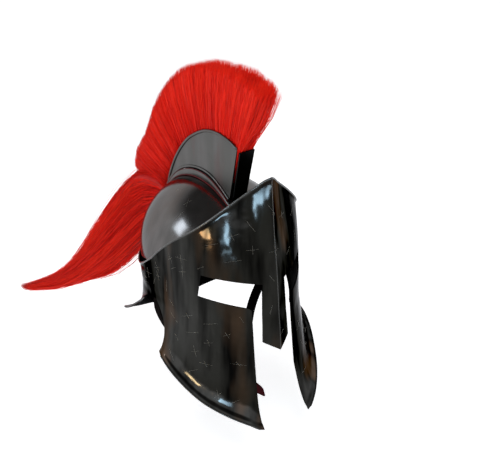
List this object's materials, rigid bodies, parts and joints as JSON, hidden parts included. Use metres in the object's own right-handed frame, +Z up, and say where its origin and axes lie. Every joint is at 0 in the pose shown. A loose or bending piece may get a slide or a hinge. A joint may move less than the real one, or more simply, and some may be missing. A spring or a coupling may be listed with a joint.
{
  "type": "crested face-covering helmet",
  "caption": "Dark metal helmet of ancient Greek form with nasal, cheek guards and neck guard, a skull dome, and an upright red horsehair crest with a long tail.",
  "frame": {"origin": "underside of the skull dome's crown, where a head bears", "axes": "+Z up, the face looks toward -Y, the wearer's left is +X"},
  "size_m": [0.2443, 0.4491, 0.4491],
  "materials": {
    "dark_steel": "dark oxidised sheet, polished to a gloss",
    "grey_steel": "grey polished sheet",
    "red_hair": "dyed horsehair",
    "strap_leather": "dark smooth leather"
  },
  "bodies": {
    "root": {"mask": "dark_steel", "skull_dome": "grey_steel", "crest_base_band": "grey_steel", "crest_side_right": "grey_steel", "crest_side_left": "grey_steel", "crest_front_plate": "dark_steel", "crest_screw_front": "grey_steel", "plume": "red_hair", "plume_tail": "red_hair", "chin_strap": "strap_leather", "strap_tongue": "strap_leather", "strap_rivet_right": "grey_steel", "strap_rivet_left": "grey_steel"}
  },
  "joints": []
}
